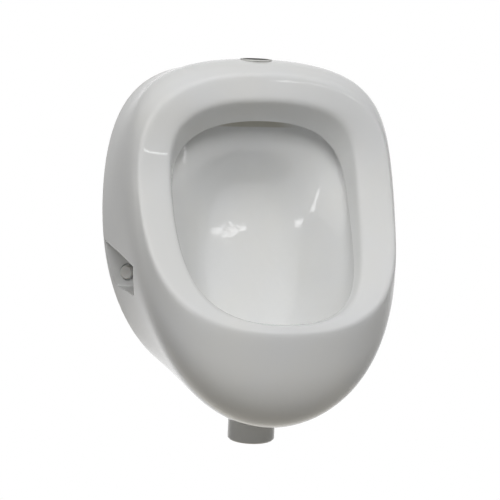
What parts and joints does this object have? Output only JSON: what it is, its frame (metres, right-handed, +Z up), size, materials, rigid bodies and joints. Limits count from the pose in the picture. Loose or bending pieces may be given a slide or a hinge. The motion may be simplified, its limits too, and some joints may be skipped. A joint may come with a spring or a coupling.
{
  "type": "wall hung urinal",
  "caption": "Bowl-shaped wall hung urinal in white glazed china, with an inclined rolled rim, a top flush inlet, side screw caps and a bottom outlet spigot.",
  "frame": {"origin": "on the wall plane, midway between the two hanger screws", "axes": "+X to the user's right, bowl faces -Y, +Y into the wall, +Z up"},
  "size_m": [0.368, 0.2968, 0.4823],
  "materials": {
    "china": "gloss glaze",
    "seal_rubber": "matte",
    "strainer_steel": "satin",
    "white_plastic": "semi gloss",
    "plug_nylon": "matte",
    "hanger_steel": "zinc plated",
    "screw_steel": "zinc plated"
  },
  "bodies": {
    "urinal": {"ceramic_body": "china", "inlet_seal": "seal_rubber", "outlet_sleeve": "seal_rubber", "screw_bush_left": "white_plastic", "fixing_screw_left": "screw_steel", "wall_plug_left": "plug_nylon", "hanger_left": "hanger_steel", "hanger_screw_left": "screw_steel", "hanger_plug_left": "plug_nylon", "screw_bush_right": "white_plastic", "fixing_screw_right": "screw_steel", "wall_plug_right": "plug_nylon", "hanger_right": "hanger_steel", "hanger_screw_right": "screw_steel", "hanger_plug_right": "plug_nylon"},
    "cap_left": {"screw_cap_left": "white_plastic"},
    "cap_right": {"screw_cap_right": "white_plastic"},
    "strainer_plate": {"strainer": "strainer_steel"}
  },
  "joints": [
    {"name": "cap_left_pull", "type": "slide", "parent": "urinal", "child": "cap_left", "axis": [-0.6428, -0.766, 0], "range_m": [0, 0.06]},
    {"name": "cap_right_pull", "type": "slide", "parent": "urinal", "child": "cap_right", "axis": [0.6428, -0.766, 0], "range_m": [0, 0.06]},
    {"name": "strainer_lift", "type": "slide", "parent": "urinal", "child": "strainer_plate", "axis": [0, 0, 1], "range_m": [0, 0.12]}
  ]
}
